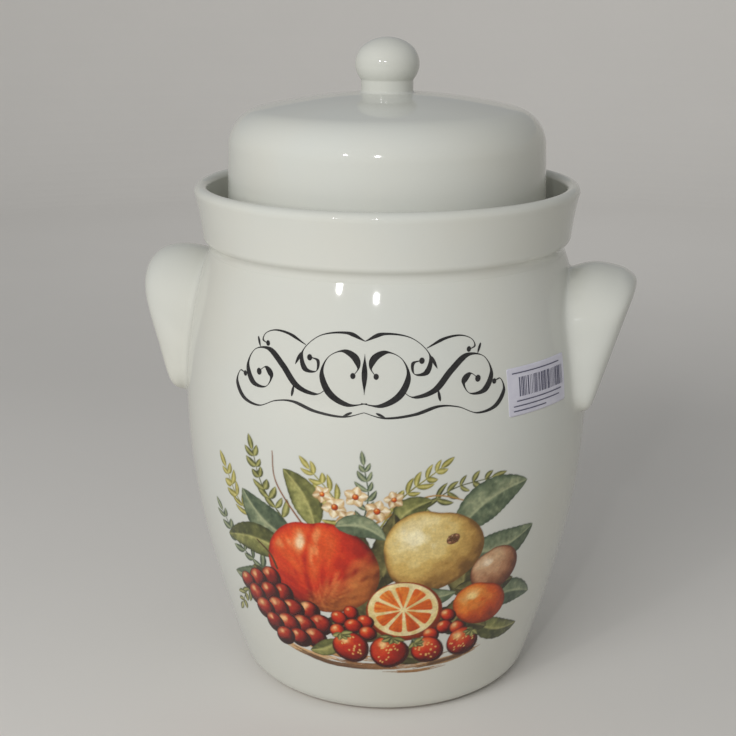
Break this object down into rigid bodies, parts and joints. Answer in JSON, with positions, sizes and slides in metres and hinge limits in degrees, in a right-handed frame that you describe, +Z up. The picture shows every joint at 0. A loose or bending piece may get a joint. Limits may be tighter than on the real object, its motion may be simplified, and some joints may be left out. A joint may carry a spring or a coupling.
{
  "type": "rumtopf pot",
  "caption": "Glazed barrel crock with a gutter rim, ear handles, a domed lift-off lid with ball knob, and half-moon stones inside.",
  "frame": {"origin": "centre of the base, on the plane the pot stands on", "axes": "+Z up along the pot's axis, decorated front faces -Y, handles on +X and -X"},
  "size_m": [0.2556, 0.21, 0.3329],
  "materials": {
    "glaze": "glossy cream-white glaze",
    "weight_stoneware": "matt fired stoneware with a thin clear glaze",
    "label_paper": "satin white paper"
  },
  "bodies": {
    "pot": {"crock_body": "glaze", "inner_neck": "glaze", "rim_collar": "glaze", "left_handle": "glaze", "right_handle": "glaze", "price_label": "label_paper"},
    "lid": {"lid_shell": "glaze", "lid_knob": "glaze"},
    "left_stone": {"left_weight": "weight_stoneware"},
    "right_stone": {"right_weight": "weight_stoneware"}
  },
  "joints": [
    {"name": "lid_lift", "type": "slide", "parent": "pot", "child": "lid", "axis": [0, 0, 1], "range_m": [0, 0.12]},
    {"name": "left_weight_lift", "type": "slide", "parent": "pot", "child": "left_stone", "axis": [0, 0, 1], "range_m": [0, 0.262]},
    {"name": "right_weight_lift", "type": "slide", "parent": "pot", "child": "right_stone", "axis": [0, 0, 1], "range_m": [0, 0.262]}
  ]
}
